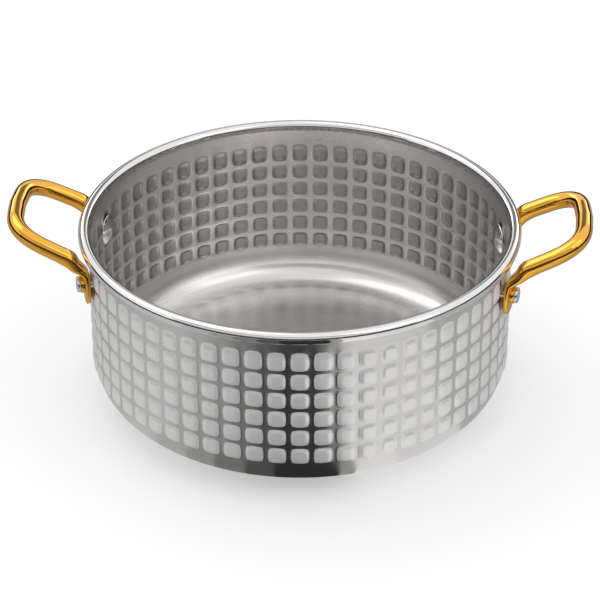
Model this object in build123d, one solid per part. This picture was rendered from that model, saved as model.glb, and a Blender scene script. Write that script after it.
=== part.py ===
from build123d import *
from math import cos, radians, sin, sqrt, tan
import os

# Sizes are in millimetres. Z is up, the origin is on the axis at the foot of the base,
# and the two handles lie along -X and +X.

# Vessel: one sheet of stainless steel, pressed, embossed and curled outwards at the rim
overall_height = 105.0
wall_radius = 114.0
sheet = 1.0
corner_radius = 22.0
curl_radius = 3.5
curl_end_angle = -125.0
centre_patch_radius = 20.0

# Embossed squares, raised outside and hollow inside
square_columns = 60
square_rows = 6
square_width = 8.8
square_height = 9.2
square_rise = 1.1
square_draft = 0.7
row_pitch = 11.4
lowest_row_height = 28.0

# Sandwich base under the floor
base_disc_radius = 85.0
base_disc_thickness = 3.0
base_cap_sheet = 0.6
base_cap_lip = 2.2
base_clearance = 0.1

# Handles: a cast loop with two riveted feet
handle_slope = 25.5
handle_reach = 37.3
handle_leg_offset = 30.9
handle_leg_taper = 1.7
handle_corner_radius = 14.5
handle_bow = 1.0
rod_width = 9.4
rod_height = 9.2
leg_root_below_rim = 13.2
rod_rim_clearance = 0.9
foot_width = 14.0
foot_thickness = 3.4
foot_drop = 11.0
foot_end_radius = 6.5
foot_clearance = 0.2
foot_shoulder = 0.6
foot_neck_inset = 0.4
foot_neck_rise = 5.0

# Rivets and the plated washers under their outer heads
rivet_column_from_handle = 15.0
rivet_below_rim = 25.7
shank_radius = 3.0
shank_clearance = 0.08
inner_head_radius = 8.5
inner_head_rise = 2.8
inner_head_clearance = 0.05
washer_radius = 4.8
washer_thickness = 2.0
outer_head_radius = 4.4
outer_head_rise = 2.0
head_edge_height = 0.8

# Worked out from the sizes above
inner_radius = wall_radius - sheet
leg_root_height = overall_height - leg_root_below_rim
rivet_height = overall_height - rivet_below_rim
square_top_radius = wall_radius + square_rise
base_thickness = base_disc_thickness + base_cap_sheet + base_clearance
floor_underside = base_thickness
curl_centre_radius = inner_radius + curl_radius
curl_centre_height = overall_height - curl_radius
column_angle = 360.0 / square_columns
hole_radius = shank_radius + shank_clearance
foot_seat_radius = sqrt(square_top_radius**2 + (square_width / 2) ** 2) + foot_clearance
foot_face = foot_seat_radius + foot_thickness
head_seat = sqrt(inner_radius**2 - inner_head_radius**2) - inner_head_clearance
rim_radius = curl_centre_radius + curl_radius


def on_curl(radius, angle):
    """A point of the rim's curl, seen in the radial section."""
    return (
        curl_centre_radius + radius * cos(radians(angle)),
        curl_centre_height + radius * sin(radians(angle)),
    )


def vessel_section():
    """The sheet's section from the central patch of the floor to the end of the curl."""
    bore = curl_radius - sheet
    low = floor_underside
    flat_radius = wall_radius - corner_radius
    corner_mid = cos(radians(45)) * corner_radius
    inner_corner_mid = cos(radians(45)) * (corner_radius - sheet)
    corner_height = low + corner_radius
    outline = [
        Line((centre_patch_radius, low), (flat_radius, low)),
        ThreePointArc(
            (flat_radius, low),
            (flat_radius + corner_mid, corner_height - corner_mid),
            (wall_radius, corner_height),
        ),
        Line((wall_radius, corner_height), on_curl(bore, 180)),
        ThreePointArc(on_curl(bore, 180), on_curl(bore, 90), on_curl(bore, 0)),
        ThreePointArc(on_curl(bore, 0), on_curl(bore, curl_end_angle / 2), on_curl(bore, curl_end_angle)),
        Line(on_curl(bore, curl_end_angle), on_curl(curl_radius, curl_end_angle)),
        ThreePointArc(
            on_curl(curl_radius, curl_end_angle),
            on_curl(curl_radius, curl_end_angle / 2),
            on_curl(curl_radius, 0),
        ),
        ThreePointArc(on_curl(curl_radius, 0), on_curl(curl_radius, 90), on_curl(curl_radius, 180)),
        Line(on_curl(curl_radius, 180), (inner_radius, corner_height)),
        ThreePointArc(
            (inner_radius, corner_height),
            (flat_radius + inner_corner_mid, corner_height - inner_corner_mid),
            (flat_radius, low + sheet),
        ),
        Line((flat_radius, low + sheet), (centre_patch_radius, low + sheet)),
        Line((centre_patch_radius, low + sheet), (centre_patch_radius, low)),
    ]
    return Plane.XZ * make_face(outline)


def square_boss(root_radius, top_radius, width, height, z):
    """A drafted square pad that points outwards along +X, from a root to a flat top."""
    root = Plane((root_radius, 0, z), x_dir=(0, 1, 0), z_dir=(1, 0, 0))
    top = Plane((top_radius, 0, z), x_dir=(0, 1, 0), z_dir=(1, 0, 0))
    draft = 2 * square_draft
    return loft([root * Rectangle(width, height), top * Rectangle(width - draft, height - draft)])


def vessel_sector(riveted):
    """One column of the vessel, centred on +X, with its squares and perhaps a rivet hole."""
    sector = revolve(vessel_section(), Axis.Z, column_angle)
    sector = Rot(0, 0, -column_angle / 2) * sector
    sink = (square_width / 2) ** 2 / wall_radius
    pads, hollows = [], []
    for row in range(square_rows):
        z = lowest_row_height + row * row_pitch
        pads.append(square_boss(wall_radius - sink, square_top_radius, square_width, square_height, z))
        hollows.append(
            square_boss(
                inner_radius - sink,
                inner_radius + square_rise,
                square_width - sheet,
                square_height - sheet,
                z,
            )
        )
    sector = sector + pads - hollows
    if riveted:
        sector -= radial_cylinder(hole_radius, inner_radius - square_rise, foot_face)
    return sector


def radial_cylinder(radius, start, end):
    """A cylinder along +X at the rivets' height, from one distance from the axis to another."""
    seat = Plane((start, 0, rivet_height), z_dir=(1, 0, 0))
    return extrude(seat * Circle(radius), end - start)


def is_cut_face(face):
    """Whether a sector's face is one of its two cut sides, or the edge of the central patch."""
    if face.geom_type != GeomType.PLANE:
        return False
    normal = face.normal_at()
    middle = face.center()
    across = abs(normal.X * middle.X + normal.Y * middle.Y) / max(1.0, middle.X)
    return abs(normal.Z) < 1e-6 and across < 1e-3


def patch_face(height):
    """The round patch in the middle of the floor, bounded by one arc per column."""
    edges = []
    for column in range(square_columns):
        start = (column - 0.5) * column_angle
        edges.append(CenterArc((0, 0, height), centre_patch_radius, start, column_angle))
    return Face(Wire(edges))


def vessel():
    """The whole pressed vessel, sewn from its columns and the patch of the floor."""
    plain = vessel_sector(False)
    riveted = vessel_sector(True)
    riveted_angles = [side + sign * rivet_column_from_handle for side in (0, 180) for sign in (-1, 1)]
    faces = [patch_face(floor_underside), patch_face(floor_underside + sheet)]
    for column in range(square_columns):
        angle = (column + 0.5) * column_angle
        holed = any(abs((angle - a + 180) % 360 - 180) < column_angle / 2 for a in riveted_angles)
        source = riveted if holed else plain
        kept = [f for f in source.faces() if not is_cut_face(f) and not is_patch_edge(f)]
        faces += [Rot(0, 0, angle) * f for f in kept]
    return Solid(Shell(faces))


def is_patch_edge(face):
    """Whether a face is the small round edge that a sector has towards the axis."""
    box = face.bounding_box()
    reach = sqrt(box.max.X**2 + box.max.Y**2)
    return face.geom_type == GeomType.CYLINDER and reach < centre_patch_radius + sheet


def base_disc():
    """The aluminium disc that spreads heat, between the floor and the cap."""
    bottom = base_cap_sheet + base_clearance / 2
    return Pos(0, 0, bottom) * extrude(Circle(base_disc_radius), base_disc_thickness)


def base_cap():
    """The thin steel cap that the pan stands on, with a low lip round the disc."""
    outer = base_disc_radius + base_clearance + base_cap_sheet
    shell = extrude(Circle(outer), base_cap_sheet + base_cap_lip)
    shell = fillet(shell.edges().group_by(Axis.Z)[0], base_cap_sheet)
    hollow = Pos(0, 0, base_cap_sheet) * extrude(Circle(outer - base_cap_sheet), base_cap_lip)
    return shell - hollow


def handle_path():
    """The centreline of the right-hand loop, in a plane that rises outwards."""
    plane = Plane(
        (foot_seat_radius, 0, leg_root_height),
        x_dir=(cos(radians(handle_slope)), 0, sin(radians(handle_slope))),
        z_dir=(-sin(radians(handle_slope)), 0, cos(radians(handle_slope))),
    )
    reach = handle_reach + rim_radius - foot_seat_radius
    leg = handle_leg_offset
    near = leg - handle_leg_taper
    outline = FilletPolyline(
        (0, -leg),
        (reach - handle_bow, -near),
        (reach, 0),
        (reach - handle_bow, near),
        (0, leg),
        radius=[handle_corner_radius, 4 * handle_corner_radius, handle_corner_radius],
    )
    return plane * outline


def foot():
    """One foot on +X: a strap down the wall that flows out into the rod's underside."""
    slope = radians(handle_slope)
    bottom = rivet_height - foot_drop
    blend_start = rivet_height + washer_radius + foot_shoulder
    turn = radians(90) - slope
    half_turn = turn / 2
    underside = leg_root_height - rod_height / 2 / cos(slope) + foot_thickness * tan(slope)
    blend = (underside - blend_start) / (sin(turn) - (1 - cos(turn)) * tan(slope))
    end = (foot_face + blend * (1 - cos(turn)), blend_start + blend * sin(turn))
    middle = (foot_face + blend * (1 - cos(half_turn)), blend_start + blend * sin(half_turn))
    deep = rod_height / 2
    inside = (end[0] - deep * sin(slope), end[1] + deep * cos(slope))
    back = foot_seat_radius - sheet
    outline = [
        Line((back, bottom), (foot_face, bottom)),
        Line((foot_face, bottom), (foot_face, blend_start)),
        ThreePointArc((foot_face, blend_start), middle, end),
        Line(end, inside),
        Line(inside, (back, leg_root_height - sheet * tan(slope))),
        Line((back, leg_root_height - sheet * tan(slope)), (back, bottom)),
    ]
    strap = extrude(Plane.XZ * make_face(outline), foot_width / 2, both=True)
    front = Plane((0, 0, bottom), x_dir=(0, 1, 0), z_dir=(1, 0, 0))
    narrow = rod_width / 2 - foot_neck_inset
    wide = foot_width / 2
    neck = blend_start - bottom
    shape = make_face(
        Polyline(
            (-wide, 0),
            (wide, 0),
            (wide, neck),
            (narrow, neck + foot_neck_rise),
            (narrow, overall_height),
            (-narrow, overall_height),
            (-narrow, neck + foot_neck_rise),
            (-wide, neck),
            (-wide, 0),
        )
    )
    shape = fillet(shape.vertices().group_by(Axis.Y)[0], foot_end_radius)
    return strap & extrude(front * shape, 2 * rim_radius)


def handle():
    """The right-hand handle: loop and feet in one casting, with its two rivet holes."""
    path = handle_path()
    start = Plane(path @ 0, x_dir=Vector(0, 0, 1).cross(path % 0), z_dir=path % 0)
    rod = sweep(start * Ellipse(rod_width / 2, rod_height / 2), path, transition=Transition.RIGHT)
    one = rod
    for sign in (-1, 1):
        one += Rot(0, 0, sign * rivet_column_from_handle) * foot()
    one -= Cylinder(foot_seat_radius, 4 * overall_height)
    rim_room = Cylinder(rim_radius + rod_rim_clearance, overall_height)
    room_bottom = curl_centre_height - curl_radius - rod_rim_clearance
    one -= Pos(0, 0, room_bottom + overall_height / 2) * rim_room
    for sign in (-1, 1):
        hole = radial_cylinder(hole_radius, inner_radius, rim_radius + rod_width)
        one -= Rot(0, 0, sign * rivet_column_from_handle) * hole
    return one


def washer():
    """The plated washer on the outer face of a foot, on +X."""
    disc = radial_cylinder(washer_radius, foot_face, foot_face + washer_thickness)
    return disc - radial_cylinder(hole_radius, foot_seat_radius, foot_face + 2 * washer_thickness)


def rivet():
    """A rivet on +X: a broad domed head inside the vessel, a shank and a small outer head."""
    grip_end = foot_face + washer_thickness
    top = grip_end + outer_head_rise
    edge = head_edge_height
    round_mid = edge * (1 - cos(radians(45)))
    dome_rise = inner_head_rise - edge
    dome_radius = (inner_head_radius**2 + dome_rise**2) / (2 * dome_rise)
    apex = head_seat - inner_head_rise
    dome_mid = apex + dome_radius - sqrt(dome_radius**2 - (inner_head_radius / 2) ** 2)
    outline = [
        Line((apex, 0), (top, 0)),
        Line((top, 0), (top, outer_head_radius - edge)),
        ThreePointArc(
            (top, outer_head_radius - edge),
            (top - round_mid, outer_head_radius - round_mid),
            (top - edge, outer_head_radius),
        ),
        Line((top - edge, outer_head_radius), (grip_end, outer_head_radius)),
        Line((grip_end, outer_head_radius), (grip_end, shank_radius)),
        Line((grip_end, shank_radius), (head_seat, shank_radius)),
        Line((head_seat, shank_radius), (head_seat, inner_head_radius)),
        Line((head_seat, inner_head_radius), (head_seat - edge, inner_head_radius)),
        ThreePointArc((head_seat - edge, inner_head_radius), (dome_mid, inner_head_radius / 2), (apex, 0)),
    ]
    return Pos(0, 0, rivet_height) * revolve(make_face(outline), Axis.X, 360)


def main():
    """Writes one STEP file per sub-part."""
    os.makedirs("parts", exist_ok=True)
    nodes = {"vessel": vessel(), "base_disc": base_disc(), "base_cap": base_cap()}
    right = handle()
    for side, turn in (("right", 0), ("left", 180)):
        nodes[f"handle_{side}"] = Rot(0, 0, turn) * right
        for place, sign in (("front", -1), ("rear", 1)):
            angle = turn + sign * rivet_column_from_handle * (1 if turn == 0 else -1)
            nodes[f"rivet_{side}_{place}"] = Rot(0, 0, angle) * rivet()
            nodes[f"washer_{side}_{place}"] = Rot(0, 0, angle) * washer()
    for name, shape in nodes.items():
        export_step(shape, f"parts/{name}.step")


main()
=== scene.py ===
"""A round steel casserole pan with gold loop handles, dressed over its CAD frame."""

import logging
import math
from collections.abc import Callable, Sequence
from dataclasses import dataclass, field, replace
from enum import Enum

import bmesh
import bpy
from mathutils import Matrix, Vector

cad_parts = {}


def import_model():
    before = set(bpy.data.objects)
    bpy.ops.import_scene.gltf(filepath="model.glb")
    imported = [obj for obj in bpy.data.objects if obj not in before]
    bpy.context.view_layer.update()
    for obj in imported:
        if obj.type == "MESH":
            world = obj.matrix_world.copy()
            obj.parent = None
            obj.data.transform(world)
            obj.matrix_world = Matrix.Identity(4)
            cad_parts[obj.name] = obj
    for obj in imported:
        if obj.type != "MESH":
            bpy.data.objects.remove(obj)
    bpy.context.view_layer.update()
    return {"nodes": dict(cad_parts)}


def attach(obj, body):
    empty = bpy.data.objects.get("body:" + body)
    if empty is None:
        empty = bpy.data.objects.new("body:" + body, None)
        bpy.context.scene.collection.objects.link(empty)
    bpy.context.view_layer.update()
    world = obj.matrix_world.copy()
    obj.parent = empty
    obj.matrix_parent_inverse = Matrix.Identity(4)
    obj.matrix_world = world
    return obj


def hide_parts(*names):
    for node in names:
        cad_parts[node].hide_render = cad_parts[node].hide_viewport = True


LOG = logging.getLogger("pan")
MM = 0.001
MERGE = 0.02 * MM
BODY = "root"


class Side(Enum):
    """The two ends of the handle axis, as a turn about Z in degrees."""

    RIGHT = 0.0
    LEFT = 180.0


class Place(Enum):
    """Which leg of a handle, seen from the front, as the sign of Y."""

    FRONT = -1
    REAR = 1


class Grain(Enum):
    """Which way the polishing marks of a metal run."""

    ROUND = "round"
    CLOUDY = "cloudy"


class Zone(Enum):
    """The parts of the vessel's skin that have their own finish, as slot numbers."""

    WALL = 0
    RIM = 1
    FLOOR = 2
    # The squares' slot carries painted sheen outside and painted shade inside.
    SQUARE = 3


def deselect() -> None:
    """Leaves object mode active and nothing selected."""
    if bpy.context.object and bpy.context.object.mode != "OBJECT":
        bpy.ops.object.mode_set(mode="OBJECT")
    bpy.ops.object.select_all(action="DESELECT")


def only(piece: bpy.types.Object) -> None:
    """Selects one piece and makes it active.

    Args:
        piece: the piece to work on.
    """
    deselect()
    piece.select_set(True)
    bpy.context.view_layer.objects.active = piece


def pick(piece: bpy.types.Object, test: Callable[[bmesh.types.BMFace], bool]) -> int:
    """Selects the faces that pass a test, in edit mode.

    Args:
        piece: the mesh object, already in edit mode.
        test: says of a face whether it is wanted.

    Returns:
        How many faces are selected.
    """
    bpy.ops.mesh.select_mode(type="FACE")
    bpy.ops.mesh.select_all(action="DESELECT")
    mesh = bmesh.from_edit_mesh(piece.data)
    found = 0
    for face in mesh.faces:
        face.select = test(face)
        found += face.select
    mesh.select_mode = {"FACE"}
    mesh.select_flush_mode()
    bmesh.update_edit_mesh(piece.data)
    return found


def draw_profile(name: str, points: Sequence[tuple[float, float]]) -> bpy.types.Object:
    """Draws a section as a chain of edges in the X-Z plane and leaves it in edit mode, selected.

    Args:
        name: the new piece's name.
        points: (radius, height) pairs, in metres.

    Returns:
        The new piece.
    """
    deselect()
    first = Vector((points[0][0], 0, points[0][1]))
    bpy.ops.mesh.primitive_plane_add(size=MM, location=(0, 0, 0))
    piece = bpy.context.object
    piece.name = name
    bpy.ops.object.mode_set(mode="EDIT")
    bpy.ops.mesh.merge(type="CENTER")
    bpy.ops.mesh.select_mode(type="VERT")
    bpy.ops.mesh.select_all(action="SELECT")
    bpy.ops.transform.translate(value=first)
    for (r0, z0), (r1, z1) in zip(points, points[1:]):
        bpy.ops.mesh.extrude_region_move(TRANSFORM_OT_translate={"value": (r1 - r0, 0, z1 - z0)})
    bpy.ops.mesh.select_all(action="SELECT")
    return piece


def face_outwards() -> None:
    """Merges doubled vertices and turns the normals of the piece in edit mode outwards."""
    bpy.ops.mesh.select_all(action="SELECT")
    bpy.ops.mesh.remove_doubles(threshold=MERGE)
    bpy.ops.mesh.normals_make_consistent(inside=False)


def apply_modifier(piece: bpy.types.Object, kind: str, **values: object) -> None:
    """Adds a modifier with its values and applies it.

    Args:
        piece: the mesh object.
        kind: the modifier's type.
        values: its settings by name.
    """
    only(piece)
    modifier = piece.modifiers.new(kind.lower(), kind)
    for name, value in values.items():
        setattr(modifier, name, value)
    bpy.ops.object.modifier_apply(modifier=modifier.name)


def smooth(piece: bpy.types.Object, degrees: float = 50.0) -> None:
    """Shades a piece smooth up to an angle between its faces.

    Args:
        piece: the piece to shade.
        degrees: the angle above which an edge stays sharp.
    """
    only(piece)
    bpy.ops.object.shade_smooth_by_angle(angle=math.radians(degrees))


def turned_copy(piece: bpy.types.Object, name: str, degrees: float) -> bpy.types.Object:
    """Copies a piece with its own mesh, turned about Z.

    Args:
        piece: the piece to copy.
        name: the copy's name.
        degrees: the turn.

    Returns:
        The copy.
    """
    only(piece)
    bpy.ops.object.duplicate(linked=False)
    copy = bpy.context.object
    copy.name = name
    copy.data.transform(Matrix.Rotation(math.radians(degrees), 4, "Z"))
    return copy


@dataclass(frozen=True)
class Metal:
    """A metal finish with its polishing marks, tone and smears. Lengths are in millimetres."""

    name: str
    colour: tuple[float, float, float]
    roughness: float
    grain: Grain
    tone_spread: float = 0.05
    roughness_spread: float = 0.04
    mark_depth: float = 0.0
    mark_pitch: float = 1.2
    mark_share: float = 0.65
    mark_turns: float = 5.0
    smears_per_metre: float = 34.0
    anisotropy: float = 0.0
    coat: float = 0.0
    metallic: float = 1.0

    def build(self) -> bpy.types.Material:
        """Makes the node material.

        Returns:
            The material, with every pattern read from Object coordinates.
        """
        material = bpy.data.materials.new(self.name)
        material.use_nodes = True
        nodes, links = material.node_tree.nodes, material.node_tree.links
        shader = nodes["Principled BSDF"]
        shader.inputs["Metallic"].default_value = self.metallic
        shader.inputs["Anisotropic"].default_value = self.anisotropy
        shader.inputs["Coat Weight"].default_value = self.coat
        place = nodes.new("ShaderNodeTexCoord").outputs["Object"]
        marks = self.noise(material, self.mark_line(material, place), scale=1.0, detail=4.0, roughness=0.65)
        smears = self.noise(material, place, scale=self.smears_per_metre, detail=5.0, roughness=0.5)
        links.new(self.tint(material, marks, smears), shader.inputs["Base Color"])
        low = max(0.01, self.roughness - self.roughness_spread)
        sheen = self.stretched(material, smears, low, self.roughness + self.roughness_spread)
        links.new(sheen, shader.inputs["Roughness"])
        if self.mark_depth:
            bump = nodes.new("ShaderNodeBump")
            bump.inputs["Strength"].default_value = 0.6
            bump.inputs["Distance"].default_value = self.mark_depth * MM
            links.new(marks, bump.inputs["Height"])
            links.new(bump.outputs["Normal"], shader.inputs["Normal"])
        return material

    def noise(
        self,
        material: bpy.types.Material,
        place: bpy.types.NodeSocket,
        scale: float,
        detail: float,
        roughness: float,
    ) -> bpy.types.NodeSocket:
        """Adds a noise pattern.

        Args:
            material: the material being built.
            place: the coordinates it reads.
            scale: how close together its spots are.
            detail: how many finer layers it has.
            roughness: how strong the finer layers are.

        Returns:
            The pattern, around 0.3 to 0.7.
        """
        pattern = material.node_tree.nodes.new("ShaderNodeTexNoise")
        pattern.inputs["Scale"].default_value = scale
        pattern.inputs["Detail"].default_value = detail
        pattern.inputs["Roughness"].default_value = roughness
        material.node_tree.links.new(place, pattern.inputs["Vector"])
        return pattern.outputs["Fac"]

    def stretched(
        self, material: bpy.types.Material, pattern: bpy.types.NodeSocket, low: float, high: float
    ) -> bpy.types.NodeSocket:
        """Maps a noise pattern's usual range to another.

        Args:
            material: the material being built.
            pattern: the pattern.
            low: what its low end becomes.
            high: what its high end becomes.

        Returns:
            The mapped pattern.
        """
        ends = material.node_tree.nodes.new("ShaderNodeMapRange")
        ends.inputs["From Min"].default_value = 0.3
        ends.inputs["From Max"].default_value = 0.7
        ends.inputs["To Min"].default_value = low
        ends.inputs["To Max"].default_value = high
        material.node_tree.links.new(pattern, ends.inputs["Value"])
        return ends.outputs["Result"]

    def tint(
        self, material: bpy.types.Material, marks: bpy.types.NodeSocket, smears: bpy.types.NodeSocket
    ) -> bpy.types.NodeSocket:
        """Makes the colour, a little lighter and darker along the marks and smears.

        Args:
            material: the material being built.
            marks: the polishing marks.
            smears: the smears.

        Returns:
            The colour socket.
        """
        nodes, links = material.node_tree.nodes, material.node_tree.links
        share = nodes.new("ShaderNodeMath")
        share.operation = "MULTIPLY"
        share.inputs[1].default_value = self.mark_share
        links.new(marks, share.inputs[0])
        both = nodes.new("ShaderNodeMath")
        both.operation = "MULTIPLY_ADD"
        both.inputs[1].default_value = 1 - self.mark_share
        links.new(smears, both.inputs[0])
        links.new(share.outputs[0], both.inputs[2])
        tint = nodes.new("ShaderNodeMix")
        tint.data_type = "RGBA"
        for end, factor in (("A", 1 - self.tone_spread), ("B", 1 + self.tone_spread)):
            tint.inputs[end].default_value = (*[min(1, c * factor) for c in self.colour], 1)
        links.new(self.stretched(material, both.outputs[0], 0.0, 1.0), tint.inputs["Factor"])
        return tint.outputs["Result"]

    def mark_line(self, material: bpy.types.Material, place: bpy.types.NodeSocket) -> bpy.types.NodeSocket:
        """Makes the coordinates in which the polishing marks run.

        Args:
            material: the material being built.
            place: its Object coordinates.

        Returns:
            The vector socket: stretched round the axis, or plain for a cloudy finish.
        """
        nodes, links = material.node_tree.nodes, material.node_tree.links
        if self.grain is Grain.CLOUDY:
            mapping = nodes.new("ShaderNodeMapping")
            mapping.inputs["Scale"].default_value = (1 / (self.mark_pitch * MM),) * 3
            links.new(place, mapping.inputs["Vector"])
            return mapping.outputs["Vector"]
        split = nodes.new("ShaderNodeSeparateXYZ")
        links.new(place, split.inputs[0])
        flat = nodes.new("ShaderNodeCombineXYZ")
        links.new(split.outputs["X"], flat.inputs["X"])
        links.new(split.outputs["Y"], flat.inputs["Y"])
        around = nodes.new("ShaderNodeVectorMath")
        around.operation = "NORMALIZE"
        links.new(flat.outputs[0], around.inputs[0])
        reach = nodes.new("ShaderNodeVectorMath")
        reach.operation = "LENGTH"
        links.new(flat.outputs[0], reach.inputs[0])
        along = nodes.new("ShaderNodeMath")
        along.operation = "ADD"
        links.new(reach.outputs["Value"], along.inputs[0])
        links.new(split.outputs["Z"], along.inputs[1])
        pitch = nodes.new("ShaderNodeMath")
        pitch.operation = "MULTIPLY"
        pitch.inputs[1].default_value = 1 / (self.mark_pitch * MM)
        links.new(along.outputs[0], pitch.inputs[0])
        spread = nodes.new("ShaderNodeVectorMath")
        spread.operation = "SCALE"
        spread.inputs["Scale"].default_value = self.mark_turns
        links.new(around.outputs[0], spread.inputs[0])
        lines = nodes.new("ShaderNodeSeparateXYZ")
        links.new(spread.outputs[0], lines.inputs[0])
        joined = nodes.new("ShaderNodeCombineXYZ")
        links.new(lines.outputs["X"], joined.inputs["X"])
        links.new(lines.outputs["Y"], joined.inputs["Y"])
        links.new(pitch.outputs[0], joined.inputs["Z"])
        return joined.outputs[0]


SATIN_WALL = Metal("satin_wall", (0.72, 0.71, 0.69), 0.27, Grain.ROUND, mark_pitch=1.6, anisotropy=0.3)
# Painted sheen: the outer squares get a lighter, half-metallic colour than the wall, which stands in for
# their bright reflections.
PAINTED_SHEEN_SQUARE = Metal(
    "satin_square", (0.90, 0.89, 0.88), 0.42, Grain.ROUND, tone_spread=0.03, anisotropy=0.2, metallic=0.5
)
INNER_WALL = Metal("inner_wall", (0.80, 0.78, 0.765), 0.30, Grain.ROUND, mark_pitch=1.6, anisotropy=0.3)
# Painted shade: the recessed squares inside are much darker than the inner wall, which stands in for the
# shade in the hollows.
PAINTED_SHADE_HOLLOW = Metal("inner_hollow_painted_shade", (0.47, 0.455, 0.445), 0.34, Grain.ROUND, anisotropy=0.2)
BRUSHED_FLOOR = Metal(
    "brushed_floor", (0.68, 0.665, 0.65), 0.25, Grain.ROUND,
    tone_spread=0.10, roughness_spread=0.05, mark_pitch=1.1, anisotropy=0.5,
)
MIRROR_RIM = Metal(
    "mirror_rim", (0.80, 0.80, 0.79), 0.07, Grain.ROUND,
    tone_spread=0.02, roughness_spread=0.02, mark_depth=0.001,
)
MIRROR_HEAD = Metal(
    "mirror_rivet", (0.80, 0.79, 0.77), 0.09, Grain.CLOUDY,
    tone_spread=0.03, roughness_spread=0.03, mark_depth=0.002, mark_pitch=2.0,
)
MIRROR_GOLD = Metal(
    "mirror_gold", (0.92, 0.46, 0.05), 0.06, Grain.CLOUDY,
    tone_spread=0.04, roughness_spread=0.03, mark_depth=0.002, mark_pitch=3.0, coat=0.5,
)
TURNED_BASE = Metal(
    "turned_base", (0.66, 0.66, 0.65), 0.30, Grain.ROUND,
    tone_spread=0.08, roughness_spread=0.05, mark_depth=0.04, mark_pitch=0.7, anisotropy=0.3,
)
RAW_ALUMINIUM = Metal(
    "raw_aluminium", (0.78, 0.79, 0.80), 0.42, Grain.ROUND,
    tone_spread=0.06, roughness_spread=0.06, mark_depth=0.03, mark_pitch=0.5,
)


def dress(piece: bpy.types.Object, slot: str, *finishes: bpy.types.Material) -> None:
    """Gives a new piece its finishes and its ride.

    Args:
        piece: the finished piece.
        slot: not used.
        finishes: one material per slot of the mesh, in order.
    """
    while len(piece.data.materials) < len(finishes):
        piece.data.materials.append(None)
    for i, finish in enumerate(finishes):
        piece.data.materials[i] = finish
    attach(piece, BODY)
    LOG.info("%s: %d faces", piece.name, len(piece.data.polygons))


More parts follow.
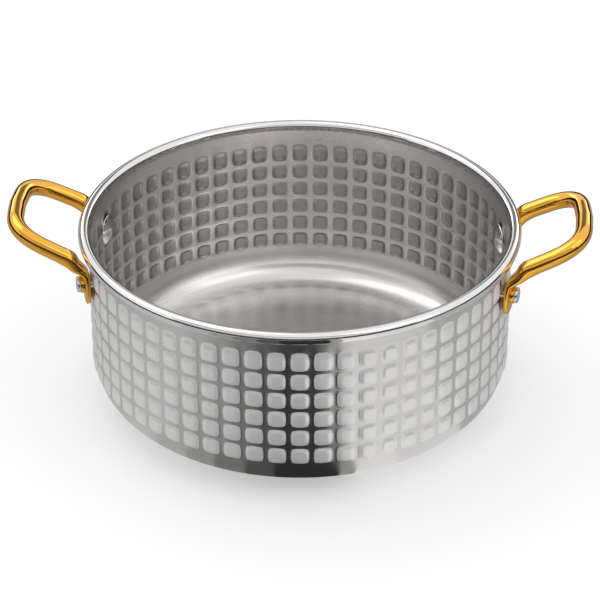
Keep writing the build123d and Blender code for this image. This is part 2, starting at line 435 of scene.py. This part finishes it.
@dataclass
class Vessel:
    """The pressed pan body with its rolled rim and its embossed squares, in millimetres."""

    wall_radius: float = 114.0
    sheet: float = 1.0
    height: float = 105.0
    underside: float = 3.7
    corner_radius: float = 22.0
    curl_radius: float = 3.5
    columns: int = 60
    rows: int = 6
    lowest_row: float = 28.0
    row_pitch: float = 11.4
    pad_width: float = 8.7
    pad_height: float = 9.0
    pad_rise: float = 0.85
    pad_bevel: float = 0.85
    crown_inset: float = 1.1
    crown_rise: float = 0.15
    corner_end_angle: float = -8.0
    curl_turn: float = 305.0
    rim_edge_below_curl: float = 1.5
    floor_share_of_corner: float = 0.35
    floor_rings: Sequence[float] = (0.0, 20.0, 45.0, 70.0)
    corner_steps: int = 6
    curl_steps: int = 8

    def profile(self) -> list[tuple[float, float]]:
        """Works out the sheet's outer skin from the floor's centre to the end of the curl.

        Returns:
            (radius, height) pairs, in metres.
        """
        flat = self.wall_radius - self.corner_radius
        points = [(r, self.underside) for r in self.floor_rings]
        for i in range(self.corner_steps + 1):
            a = math.radians(-90 + (90 + self.corner_end_angle) * i / self.corner_steps)
            z = self.underside + self.corner_radius * (1 + math.sin(a))
            points.append((flat + self.corner_radius * math.cos(a), z))
        half = self.pad_height / 2
        for row in range(self.rows):
            z = self.lowest_row + row * self.row_pitch
            points += [(self.wall_radius, z - half), (self.wall_radius, z), (self.wall_radius, z + half)]
        bore = self.curl_radius - self.sheet
        centre = (self.wall_radius - self.sheet + self.curl_radius, self.height - self.curl_radius)
        for i in range(self.curl_steps + 1):
            a = math.radians(180 - self.curl_turn * i / self.curl_steps)
            points.append((centre[0] + bore * math.cos(a), centre[1] + bore * math.sin(a)))
        return [(r * MM, z * MM) for r, z in points]

    def build(self) -> bpy.types.Object:
        """Models one column, embosses it, turns it round the axis and thickens it.

        Returns:
            The vessel, with one slot for each zone outside and then one for each inside.
        """
        piece = draw_profile("pressed_vessel", self.profile())
        for _ in range(2 * len(Zone)):
            piece.data.materials.append(None)
        column = math.radians(360 / self.columns)
        pad = self.pad_width / self.wall_radius
        spin = {"center": (0, 0, 0), "axis": (0, 0, 1)}
        bpy.ops.mesh.spin(steps=2, angle=pad, **spin)
        bpy.ops.mesh.spin(steps=1, angle=column - pad, **spin)
        bpy.ops.mesh.select_all(action="SELECT")
        bpy.ops.mesh.remove_doubles(threshold=MERGE / 20)
        self.turn_outwards(piece)
        middle = self.emboss(piece, pad)
        bpy.ops.mesh.select_all(action="SELECT")
        bpy.ops.mesh.spin(steps=self.columns - 1, dupli=True, angle=column * (self.columns - 1), **spin)
        bpy.ops.mesh.select_all(action="SELECT")
        bpy.ops.mesh.remove_doubles(threshold=MERGE)
        self.turn_outwards(piece)
        bpy.ops.object.mode_set(mode="OBJECT")
        piece.data.transform(Matrix.Rotation(column / 2 - middle, 4, "Z"))
        self.mark_rim_and_floor(piece)
        apply_modifier(piece, "SUBSURF", levels=1, render_levels=1)
        skin = {"thickness": self.sheet * MM, "offset": -1.0, "use_even_offset": True, "use_rim": True}
        apply_modifier(piece, "SOLIDIFY", material_offset=len(Zone), **skin)
        smooth(piece)
        return piece

    def mark_rim_and_floor(self, piece: bpy.types.Object) -> None:
        """Gives the faces of the rim and the floor their zones, by their height.

        Args:
            piece: the whole skin, in object mode.
        """
        rim = (self.height - 2 * self.curl_radius - self.rim_edge_below_curl) * MM
        floor = (self.underside + self.floor_share_of_corner * self.corner_radius) * MM
        for face in piece.data.polygons:
            if face.material_index != Zone.WALL.value:
                continue
            if face.center.z > rim:
                face.material_index = Zone.RIM.value
            elif face.center.z < floor:
                face.material_index = Zone.FLOOR.value

    def turn_outwards(self, piece: bpy.types.Object) -> None:
        """Makes the skin's faces point away from the pan, in edit mode.

        Args:
            piece: the skin, or one column of it.
        """
        bpy.ops.mesh.select_all(action="SELECT")
        bpy.ops.mesh.normals_make_consistent(inside=False)
        mesh = bmesh.from_edit_mesh(piece.data)
        low, high = 0.3 * self.height * MM, 0.85 * self.height * MM
        walls = [f for f in mesh.faces if low < f.calc_center_median().z < high]
        outward = sum(f.normal.dot(f.calc_center_median() * Vector((1, 1, 0))) > 0 for f in walls)
        if outward * 2 < len(walls):
            bpy.ops.mesh.flip_normals()

    def emboss(self, piece: bpy.types.Object, pad: float) -> float:
        """Raises the squares of one column as crowned pads, in edit mode.

        Args:
            piece: the column, still flat.
            pad: the angle of one square.

        Returns:
            The squares' middle, as an angle from +X.
        """
        half = self.pad_height / 2

        def on_square(face: bmesh.types.BMFace) -> bool:
            """Says whether a face lies on one of the column's squares.

            Args:
                face: a face of the column.

            Returns:
                True on a square.
            """
            middle = face.calc_center_median()
            turn = abs(math.atan2(middle.y, middle.x))
            row = (middle.z / MM - self.lowest_row) / self.row_pitch
            level = abs(row - round(row)) * self.row_pitch < half
            inside = -0.5 < row < self.rows - 0.5 and middle.xy.length > (self.wall_radius - 2) * MM
            return turn < pad and level and inside

        found = pick(piece, on_square)
        LOG.info("%d faces on the squares of one column", found)
        mesh = bmesh.from_edit_mesh(piece.data)
        # The square faces take the slot that carries painted sheen outside and painted shade inside.
        for face in mesh.faces:
            face.material_index = (Zone.SQUARE if face.select else Zone.WALL).value
        bpy.ops.mesh.inset(thickness=self.pad_bevel * MM, depth=self.pad_rise * MM, use_even_offset=True)
        bpy.ops.mesh.inset(thickness=self.crown_inset * MM, depth=self.crown_rise * MM, use_even_offset=True)
        mesh = bmesh.from_edit_mesh(piece.data)
        tops = [face.calc_center_median() for face in mesh.faces if face.select]
        bmesh.update_edit_mesh(piece.data)
        return sum(math.atan2(top.y, top.x) for top in tops) / len(tops)


@dataclass(frozen=True)
class Station:
    """One cross-section of a handle: where it is, which way its flat faces, and its size."""

    centre: Vector
    facing: Vector
    width: float
    thickness: float
    squareness: float


@dataclass
class Handle:
    """The cast loop with its two feet, built on +X, in millimetres."""

    seat_radius: float = 115.35
    rivet_turn: float = 15.0
    rivet_height: float = 79.3
    foot_drop: float = 11.0
    foot_width: float = 13.6
    foot_thickness: float = 3.3
    rod_width: float = 9.4
    rod_thickness: float = 8.9
    slope: float = 25.5
    root: tuple[float, float] = (120.8, 94.4)
    tip: float = 153.2
    leg_spread: float = 30.9
    corner_spread: float = 29.2
    corner_radius: float = 17.5
    bow: float = 1.6
    sides: int = 28
    rim_circle: tuple[float, float] = (116.5, 101.5)
    rim_room: float = 4.3
    seat_room: float = 0.05
    foot_squareness: float = 4.2
    rod_squareness: float = 2.1
    leg_start: float = 126.0

    def outwards(self) -> Vector:
        """The direction in which the front foot faces."""
        turn = math.radians(-self.rivet_turn)
        return Vector((math.cos(turn), math.sin(turn), 0))

    def foot(self) -> list[Station]:
        """Lays out the front foot, from its rounded lower end to the start of the shoulder.

        Returns:
            The stations from the bottom up.
        """
        out = self.outwards()
        bottom = self.rivet_height - self.foot_drop
        # Height above the foot's end, then the shares of its full width and thickness
        shape = [
            (0.0, 0.30, 0.62), (0.35, 0.50, 0.82), (1.2, 0.72, 0.96), (2.8, 0.90, 1.0), (4.8, 0.985, 1.0),
            (7.5, 1.0, 1.0), (11.0, 1.0, 1.0), (14.0, 0.98, 1.02), (16.5, 0.93, 1.15), (18.6, 0.87, 1.42),
        ]
        stations = []
        for rise, width, thick in shape:
            thickness = self.foot_thickness * thick
            centre = out * (self.seat_radius + self.seat_room + thickness / 2)
            centre.z = bottom + rise
            stations.append(Station(centre, -out, self.foot_width * width, thickness, self.foot_squareness))
        return stations

    def upwards(self) -> Vector:
        """The direction that is square to the sloped loop."""
        slope = math.radians(self.slope)
        return Vector((-math.sin(slope), 0, math.cos(slope)))

    def on_slope(self, x: float, y: float) -> Vector:
        """Lifts a place in plan onto the sloped loop.

        Args:
            x: its distance along the handle axis.
            y: its distance across it.

        Returns:
            The point of the loop's centreline there.
        """
        return Vector((x, y, self.root[1] + (x - self.root[0]) * math.tan(math.radians(self.slope))))

    def shoulder(self) -> list[Station]:
        """Lays out the bend from the foot to the front leg.

        Returns:
            The stations from the foot outwards.
        """
        stations = []
        # Distance from the axis, drop below the slope, width, thickness, lean from foot to slope, squareness
        for x, drop, width, thickness, lean, squareness in (
            (118.6, 3.2, 11.0, 6.1, 0.45, 3.4),
            (119.9, 1.5, 10.4, 7.4, 0.70, 3.0),
            (121.6, 0.5, 9.9, 8.4, 0.90, 2.7),
            (123.8, 0.1, 9.6, 9.0, 1.0, 2.5),
        ):
            facing = (-self.outwards()).lerp(self.upwards(), lean).normalized()
            centre = self.on_slope(x, -self.leg_spread) - Vector((0, 0, drop))
            stations.append(Station(centre, facing, width, thickness, squareness))
        return stations

    def loop(self) -> list[Station]:
        """Lays out the front leg, the rounded corner and half of the outer bar.

        Returns:
            The stations up to the middle of the bar.
        """
        corner = Vector((self.tip - self.bow, -self.corner_spread))
        root = Vector((self.leg_start, -self.leg_spread))
        middle = Vector((self.tip, 0))
        along = (corner - root).normalized()
        across = (middle - corner).normalized()
        start, end = corner - along * self.corner_radius, corner + across * self.corner_radius
        plan = [root.lerp(start, i / 4) for i in range(4)]
        for i in range(11):
            t = i / 10
            plan.append(start * (1 - t) ** 2 + corner * 2 * t * (1 - t) + end * t**2)
        plan += [end.lerp(middle, t) for t in (0.35, 0.7, 1.0)]
        size = (self.rod_width, self.rod_thickness, self.rod_squareness)
        return [Station(self.on_slope(p.x, p.y), self.upwards(), *size) for p in plan]

    def mirrored(self, station: Station) -> Station:
        """Mirrors a section to the rear leg.

        Args:
            station: a section of the front leg.

        Returns:
            The same section on the rear leg.
        """
        flip = Vector((1, -1, 1))
        return replace(station, centre=station.centre * flip, facing=station.facing * flip)

    def ring(self, station: Station, along: Vector) -> list[Vector]:
        """Places the points of one section.

        Args:
            station: the section.
            along: the direction of the rod there.

        Returns:
            The points, in metres.
        """
        side = along.cross(station.facing).normalized()
        flat = side.cross(along).normalized()
        points = []
        for i in range(self.sides):
            a = 2 * math.pi * (i + 0.5) / self.sides
            c, s = math.cos(a), math.sin(a)
            power = 2 / station.squareness
            x = math.copysign(abs(c) ** power, c) * station.width / 2
            y = math.copysign(abs(s) ** power, s) * station.thickness / 2
            points.append(self.relieved(station.centre + side * x + flat * y) * MM)
        return points

    def relieved(self, point: Vector) -> Vector:
        """Moves a point off the wall's squares and clear of the rolled rim.

        Args:
            point: a point of the handle's skin, in millimetres.

        Returns:
            The point, moved outwards where it has to be.
        """
        radius = point.xy.length
        if radius < self.seat_radius:
            point = Vector((*(point.xy * (self.seat_radius / radius)), point.z))
            radius = self.seat_radius
        off = Vector((radius - self.rim_circle[0], point.z - self.rim_circle[1]))
        if off.length < self.rim_room:
            off *= self.rim_room / max(off.length, 0.1)
            moved = max(self.rim_circle[0] + off.x, self.seat_radius)
            point = Vector((*(point.xy * (moved / radius)), self.rim_circle[1] + off.y))
        return point

    def build(self) -> bpy.types.Object:
        """Extrudes a ring from the front foot, round the loop and down to the rear foot.

        Returns:
            The right-hand handle.
        """
        half = self.foot() + self.shoulder() + self.loop()
        stations = half + [self.mirrored(s) for s in reversed(half[:-1])]
        deselect()
        bpy.ops.mesh.primitive_circle_add(vertices=self.sides, radius=MM, fill_type="NGON")
        piece = bpy.context.object
        piece.name = "handle_right_loop"
        bpy.ops.object.mode_set(mode="EDIT")
        bpy.ops.mesh.select_mode(type="VERT")
        bpy.ops.mesh.select_all(action="SELECT")
        last = [v.co.copy() for v in bmesh.from_edit_mesh(piece.data).verts]
        for i, station in enumerate(stations):
            before = stations[max(i - 1, 0)].centre
            after = stations[min(i + 1, len(stations) - 1)].centre
            ring = self.ring(station, (after - before).normalized())
            if i:
                bpy.ops.mesh.extrude_region_move(TRANSFORM_OT_translate={"value": (0, 0, 0)})
            self.settle(piece, last, ring)
            last = ring
        face_outwards()
        bpy.ops.object.mode_set(mode="OBJECT")
        apply_modifier(piece, "SUBSURF", levels=1, render_levels=1)
        smooth(piece, 70)
        return piece

    def settle(self, piece: bpy.types.Object, last: Sequence[Vector], ring: Sequence[Vector]) -> None:
        """Moves the selected ring of vertices to its section.

        Args:
            piece: the handle, in edit mode.
            last: where the ring's points are now.
            ring: where they go, in the same order.
        """
        mesh = bmesh.from_edit_mesh(piece.data)
        for vertex in [v for v in mesh.verts if v.select]:
            nearest = min(range(len(last)), key=lambda k: (last[k] - vertex.co).length_squared)
            vertex.co = ring[nearest]
        mesh.normal_update()
        bmesh.update_edit_mesh(piece.data)


@dataclass
class Rivet:
    """A rivet and the plated collar under its outer head, built on +X, in millimetres."""

    height: float = 79.3
    wall_inside: float = 112.66
    foot_face: float = 118.7
    shank_radius: float = 3.0
    inner_radius: float = 8.5
    inner_rise: float = 3.1
    outer_radius: float = 4.4
    outer_rise: float = 2.1
    collar_radius: float = 4.8
    collar_height: float = 2.0
    hole_room: float = 0.08
    dome_edge: float = 0.55
    dome_power: float = 2.2
    dome_steps: int = 8
    steps: int = 48

    def head_profile(self) -> list[tuple[float, float]]:
        """Draws the rivet's half section.

        Returns:
            (radius, distance from the pan's axis) pairs, from the inner dome's top to the outer head's.
        """
        grip = self.foot_face + self.collar_height
        apex = self.wall_inside - self.inner_rise
        points = [(0.0, apex)]
        for i in range(1, self.dome_steps + 1):
            t = i / self.dome_steps
            fall = (self.inner_rise - self.dome_edge) * t**self.dome_power
            points.append((self.inner_radius * t, apex + fall))
        points += [
            (self.inner_radius + 0.1, self.wall_inside - 0.25),
            (self.inner_radius, self.wall_inside),
            (self.shank_radius, self.wall_inside),
            (self.shank_radius, grip),
            (self.outer_radius - 0.2, grip),
            (self.outer_radius, grip + 0.25),
            (self.outer_radius, grip + self.outer_rise - 0.9),
            (self.outer_radius - 0.3, grip + self.outer_rise - 0.35),
            (self.outer_radius - 1.1, grip + self.outer_rise - 0.08),
            (0.0, grip + self.outer_rise),
        ]
        return points

    def collar_profile(self) -> list[tuple[float, float]]:
        """Draws the collar's half section.

        Returns:
            (radius, distance from the pan's axis) pairs, closed round the hole.
        """
        low, high, r = self.foot_face, self.foot_face + self.collar_height, self.collar_radius
        hole = self.shank_radius + self.hole_room
        return [
            (hole, low), (r, low), (r + 0.05, low + 0.5), (r, high - 0.5), (r - 0.15, high - 0.15),
            (r - 0.5, high), (hole, high), (hole, low),
        ]

    def spun(self, name: str, points: Sequence[tuple[float, float]]) -> bpy.types.Object:
        """Spins a half section about its own radial axis.

        Args:
            name: the piece's name.
            points: (radius, distance) pairs.

        Returns:
            The piece on +X at the rivets' height.
        """
        piece = draw_profile(name, [(r * MM, d * MM) for r, d in points])
        bpy.ops.mesh.spin(steps=self.steps, angle=2 * math.pi, center=(0, 0, 0), axis=(0, 0, 1))
        face_outwards()
        bpy.ops.object.mode_set(mode="OBJECT")
        piece.data.transform(Matrix.Rotation(math.radians(90), 4, "Y"))
        piece.data.transform(Matrix.Translation((0, 0, self.height * MM)))
        smooth(piece, 40)
        return piece

    def build(self) -> tuple[bpy.types.Object, bpy.types.Object]:
        """Models the pair on +X.

        Returns:
            The rivet and its collar.
        """
        return self.spun("rivet_model", self.head_profile()), self.spun("collar_model", self.collar_profile())


@dataclass
class Fittings:
    """The two handles, the four rivets and their collars, set round the pan."""

    handle: Handle = field(default_factory=Handle)
    rivet: Rivet = field(default_factory=Rivet)

    def build(self, gold: bpy.types.Material, steel: bpy.types.Material) -> None:
        """Models each fitting once, copies it to its places and dresses it.

        Args:
            gold: the plated finish of the handles and collars.
            steel: the polished finish of the rivets.
        """
        loop = self.handle.build()
        model, collar = self.rivet.build()
        for side in Side:
            word = side.name.lower()
            self.put(loop, f"loop_{word}", side.value, "handles", f"handle_{word}", gold)
            for place in Place:
                sign = place.value if side is Side.RIGHT else -place.value
                turn = side.value + sign * self.handle.rivet_turn
                end = f"{word}_{place.name.lower()}"
                self.put(model, f"headed_rivet_{end}", turn, "rivets", f"rivet_{end}", steel)
                self.put(collar, f"collar_{end}", turn, "washers", f"washer_{end}", gold)
        for model_piece in (loop, model, collar):
            bpy.data.objects.remove(model_piece)

    def put(
        self,
        model: bpy.types.Object,
        name: str,
        turn: float,
        slot: str,
        node: str,
        finish: bpy.types.Material,
    ) -> None:
        """Copies a model to its place and lets it stand for its CAD node.

        Args:
            model: the piece on +X.
            name: the copy's name.
            turn: its turn about Z, in degrees.
            slot: handed on to dress, which does not use it.
            node: the CAD node it replaces.
            finish: its material.
        """
        piece = turned_copy(model, name, turn)
        dress(piece, slot, finish)
        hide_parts(node)


@dataclass
class Studio:
    """The floor, the soft lights, the dark reflectors and the camera, in metres."""

    azimuth: float = 3.11
    elevation: float = 31.13
    distance: float = 1.44
    aim_height: float = 0.0539
    lens: float = 156.9
    roll: float = -0.18
    ambient: float = 0.85
    key_power: float = 4.5
    fill_share: float = 0.45
    floor_lit: float = 0.62
    floor_glow: float = 0.42
    card_foot: float = 0.088
    card_spread: float = 12.0

    def build(self) -> None:
        """Makes the whole stage."""
        bpy.context.scene.view_settings.view_transform = "Standard"
        self.camera()
        self.world()
        self.floor()
        self.lights()
        self.reflectors()

    def camera(self) -> None:
        """Sets the camera where the picture was taken from."""
        a, e = math.radians(self.azimuth), math.radians(self.elevation)
        back = Vector((math.sin(a) * math.cos(e), -math.cos(a) * math.cos(e), math.sin(e)))
        data = bpy.data.cameras.new("view")
        data.lens = self.lens
        camera = bpy.data.objects.new("view", data)
        bpy.context.scene.collection.objects.link(camera)
        camera.location = Vector((0, 0, self.aim_height)) + back * self.distance
        aim = (-back).to_track_quat("-Z", "Y").to_matrix()
        camera.rotation_euler = (aim @ Matrix.Rotation(math.radians(self.roll), 3, "Z")).to_euler()
        bpy.context.scene.camera = camera

    def world(self) -> None:
        """Lights the scene softly and shows white to the camera and to reflections."""
        world = bpy.data.worlds.new("studio")
        bpy.context.scene.world = world
        world.use_nodes = True
        nodes, links = world.node_tree.nodes, world.node_tree.links
        seen = self.seen_rays(world.node_tree)
        soft = nodes["Background"]
        soft.inputs["Strength"].default_value = self.ambient
        soft.inputs["Color"].default_value = (1, 1, 1, 1)
        shown = nodes.new("ShaderNodeBackground")
        shown.inputs["Color"].default_value = (1, 1, 1, 1)
        mix = nodes.new("ShaderNodeMixShader")
        links.new(seen, mix.inputs[0])
        links.new(soft.outputs[0], mix.inputs[1])
        links.new(shown.outputs[0], mix.inputs[2])
        links.new(mix.outputs[0], nodes["World Output"].inputs["Surface"])

    def seen_rays(self, tree: bpy.types.NodeTree) -> bpy.types.NodeSocket:
        """Makes a socket that is 1 for the rays that the camera, reflections and glass see by.

        Args:
            tree: the node tree to add to.

        Returns:
            The socket.
        """
        path = tree.nodes.new("ShaderNodeLightPath")
        seen = path.outputs["Is Camera Ray"]
        for ray in ("Is Glossy Ray", "Is Transmission Ray"):
            either = tree.nodes.new("ShaderNodeMath")
            either.operation = "MAXIMUM"
            tree.links.new(seen, either.inputs[0])
            tree.links.new(path.outputs[ray], either.inputs[1])
            seen = either.outputs[0]
        return seen

    def floor(self) -> None:
        """Lays the pale floor, which keeps the pan's shadow and is near white elsewhere."""
        deselect()
        bpy.ops.mesh.primitive_plane_add(size=12, location=(0, 0, 0))
        floor = bpy.context.object
        floor.name = "pale_floor"
        material = bpy.data.materials.new("pale_floor")
        material.use_nodes = True
        shader = material.node_tree.nodes["Principled BSDF"]
        shader.inputs["Base Color"].default_value = (*[self.floor_lit] * 3, 1)
        shader.inputs["Emission Color"].default_value = (*[self.floor_glow] * 3, 1)
        material.node_tree.links.new(self.seen_rays(material.node_tree), shader.inputs["Emission Strength"])
        shader.inputs["Roughness"].default_value = 0.9
        shader.inputs["Specular IOR Level"].default_value = 0.1
        floor.data.materials.append(material)

    def lights(self) -> None:
        """Hangs two broad soft lights over the pan."""
        for name, place, size, power in (
            ("key", (-0.7, 0.5, 1.5), 1.1, self.key_power),
            ("fill", (0.9, -0.5, 1.3), 0.9, self.key_power * self.fill_share),
        ):
            data = bpy.data.lights.new(name, "AREA")
            data.size = size
            data.energy = power
            light = bpy.data.objects.new(name, data)
            bpy.context.scene.collection.objects.link(light)
            light.location = place
            light.rotation_euler = (-Vector(place)).to_track_quat("-Z", "Y").to_euler()

    def reflectors(self) -> None:
        """Stands grey, black and glowing cards round the pan, which only reflections show."""
        # Name, distance from the axis, lower and upper edge, start and end of the arc, brightness
        self.band("horizon_card", 1.5, 0.0, 0.48, -180, 180, 0.02)
        self.band("front_card", 1.5, 0.48, 0.90, -60, 60, 0.30)
        self.band("upper_card", 1.3, 1.1, 1.9, -70, 70, 0.50)
        self.band("back_card", 1.5, 0.80, 1.35, 163, 180, 0.22)
        self.band("back_card_left", 1.5, 0.80, 1.35, -180, -166, 0.22)
        self.band("glow_card_right", 1.5, 0.50, 0.80, 140, 160, 2.2)
        self.band("glow_card_left", 1.5, 0.50, 0.80, -160, -140, 2.2)
        # The cards on the floor meet at these angles from the front
        edges = (-180, -128, -85, -60, -46, -34, -24, -14, -5, 15, 20, 34, 60, 95, 132, 180)
        greys = (0.42, 0.46, 0.56, 0.60, 0.48, 0.34, 0.20, 0.09, 0.03, 0.35, 0.90, 0.80, 0.50, 0.38, 0.42)
        for i, grey in enumerate(greys):
            self.wedge(f"floor_card_{i}", edges[i], edges[i + 1], grey)

    def card_material(self, name: str, grey: float) -> bpy.types.Material:
        """Makes an even grey that needs no light and that only reflections show.

        Args:
            name: the material's name.
            grey: how bright it is.

        Returns:
            The material.
        """
        material = bpy.data.materials.new(name)
        material.use_nodes = True
        nodes, links = material.node_tree.nodes, material.node_tree.links
        glow = nodes.new("ShaderNodeEmission")
        glow.inputs["Color"].default_value = (grey, grey, grey, 1)
        clear = nodes.new("ShaderNodeBsdfTransparent")
        mix = nodes.new("ShaderNodeMixShader")
        links.new(nodes.new("ShaderNodeLightPath").outputs["Is Glossy Ray"], mix.inputs[0])
        links.new(clear.outputs[0], mix.inputs[1])
        links.new(glow.outputs[0], mix.inputs[2])
        links.new(mix.outputs[0], nodes["Material Output"].inputs["Surface"])
        return material

    def finish_card(self, card: bpy.types.Object, name: str, start: float, end: float, grey: float) -> None:
        """Cuts a card to its arc and hides it from all but reflections.

        Args:
            card: a whole ring of faces.
            name: the card's name.
            start: the arc's start, in degrees from the front towards +X.
            end: its end.
            grey: its brightness.
        """
        card.name = name
        bpy.ops.object.mode_set(mode="EDIT")

        def outside(face: bmesh.types.BMFace) -> bool:
            """Says whether a face lies outside the card's arc.

            Args:
                face: a face of the whole ring.

            Returns:
                True outside the arc.
            """
            middle = face.calc_center_median()
            return not start <= math.degrees(math.atan2(middle.x, -middle.y)) <= end

        if pick(card, outside):
            bpy.ops.mesh.delete(type="FACE")
        bpy.ops.object.mode_set(mode="OBJECT")
        LOG.info("%s: %d faces", name, len(card.data.polygons))
        card.data.materials.append(self.card_material(name, grey))
        card.visible_diffuse = False
        card.visible_shadow = False
        card.visible_transmission = False

    def band(
        self, name: str, radius: float, low: float, high: float, start: float, end: float, grey: float
    ) -> None:
        """Stands an upright curved card.

        Args:
            name: its name.
            radius: its distance from the pan's axis.
            low: its lower edge.
            high: its upper edge.
            start: the arc's start, in degrees from the front towards +X.
            end: its end.
            grey: its brightness.
        """
        deselect()
        middle = (0, 0, (low + high) / 2)
        ring = {"vertices": 180, "end_fill_type": "NOTHING"}
        bpy.ops.mesh.primitive_cylinder_add(radius=radius, depth=high - low, location=middle, **ring)
        self.finish_card(bpy.context.object, name, start, end, grey)

    def wedge(self, name: str, start: float, end: float, grey: float) -> None:
        """Lays a flat card on the floor, spreading away from the pan.

        Args:
            name: its name.
            start: the arc's start, in degrees from the front towards +X.
            end: its end.
            grey: its brightness.
        """
        deselect()
        ring = {"vertices": 360, "fill_type": "NOTHING"}
        bpy.ops.mesh.primitive_circle_add(radius=self.card_foot, location=(0, 0, MM), **ring)
        card = bpy.context.object
        bpy.ops.object.mode_set(mode="EDIT")
        bpy.ops.mesh.select_mode(type="VERT")
        bpy.ops.mesh.select_all(action="SELECT")
        bpy.ops.mesh.extrude_region_move(TRANSFORM_OT_translate={"value": (0, 0, 0)})
        bpy.ops.transform.resize(value=(self.card_spread, self.card_spread, 1))
        bpy.ops.object.mode_set(mode="OBJECT")
        self.finish_card(card, name, start, end, grey)


def main() -> None:
    """Builds the stage and every piece, in order."""
    logging.basicConfig(level=logging.INFO, format="%(name)s: %(message)s")
    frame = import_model()
    Studio().build()
    vessel = Vessel().build()
    # square is the outer squares' finish, with its painted sheen; the inner squares get painted shade.
    wall, rim, floor, square = (f.build() for f in (SATIN_WALL, MIRROR_RIM, BRUSHED_FLOOR, PAINTED_SHEEN_SQUARE))
    dress(vessel, "vessel", wall, rim, floor, square, INNER_WALL.build(), rim, floor, PAINTED_SHADE_HOLLOW.build())
    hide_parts("vessel")
    Fittings().build(MIRROR_GOLD.build(), MIRROR_HEAD.build())
    for node, finish in (("base_disc", RAW_ALUMINIUM), ("base_cap", TURNED_BASE)):
        kept = frame["nodes"][node]
        kept.data.materials.clear()
        kept.data.materials.append(finish.build())
        LOG.info("%s keeps its CAD shape", node)


if __name__ == "__main__":
    main()
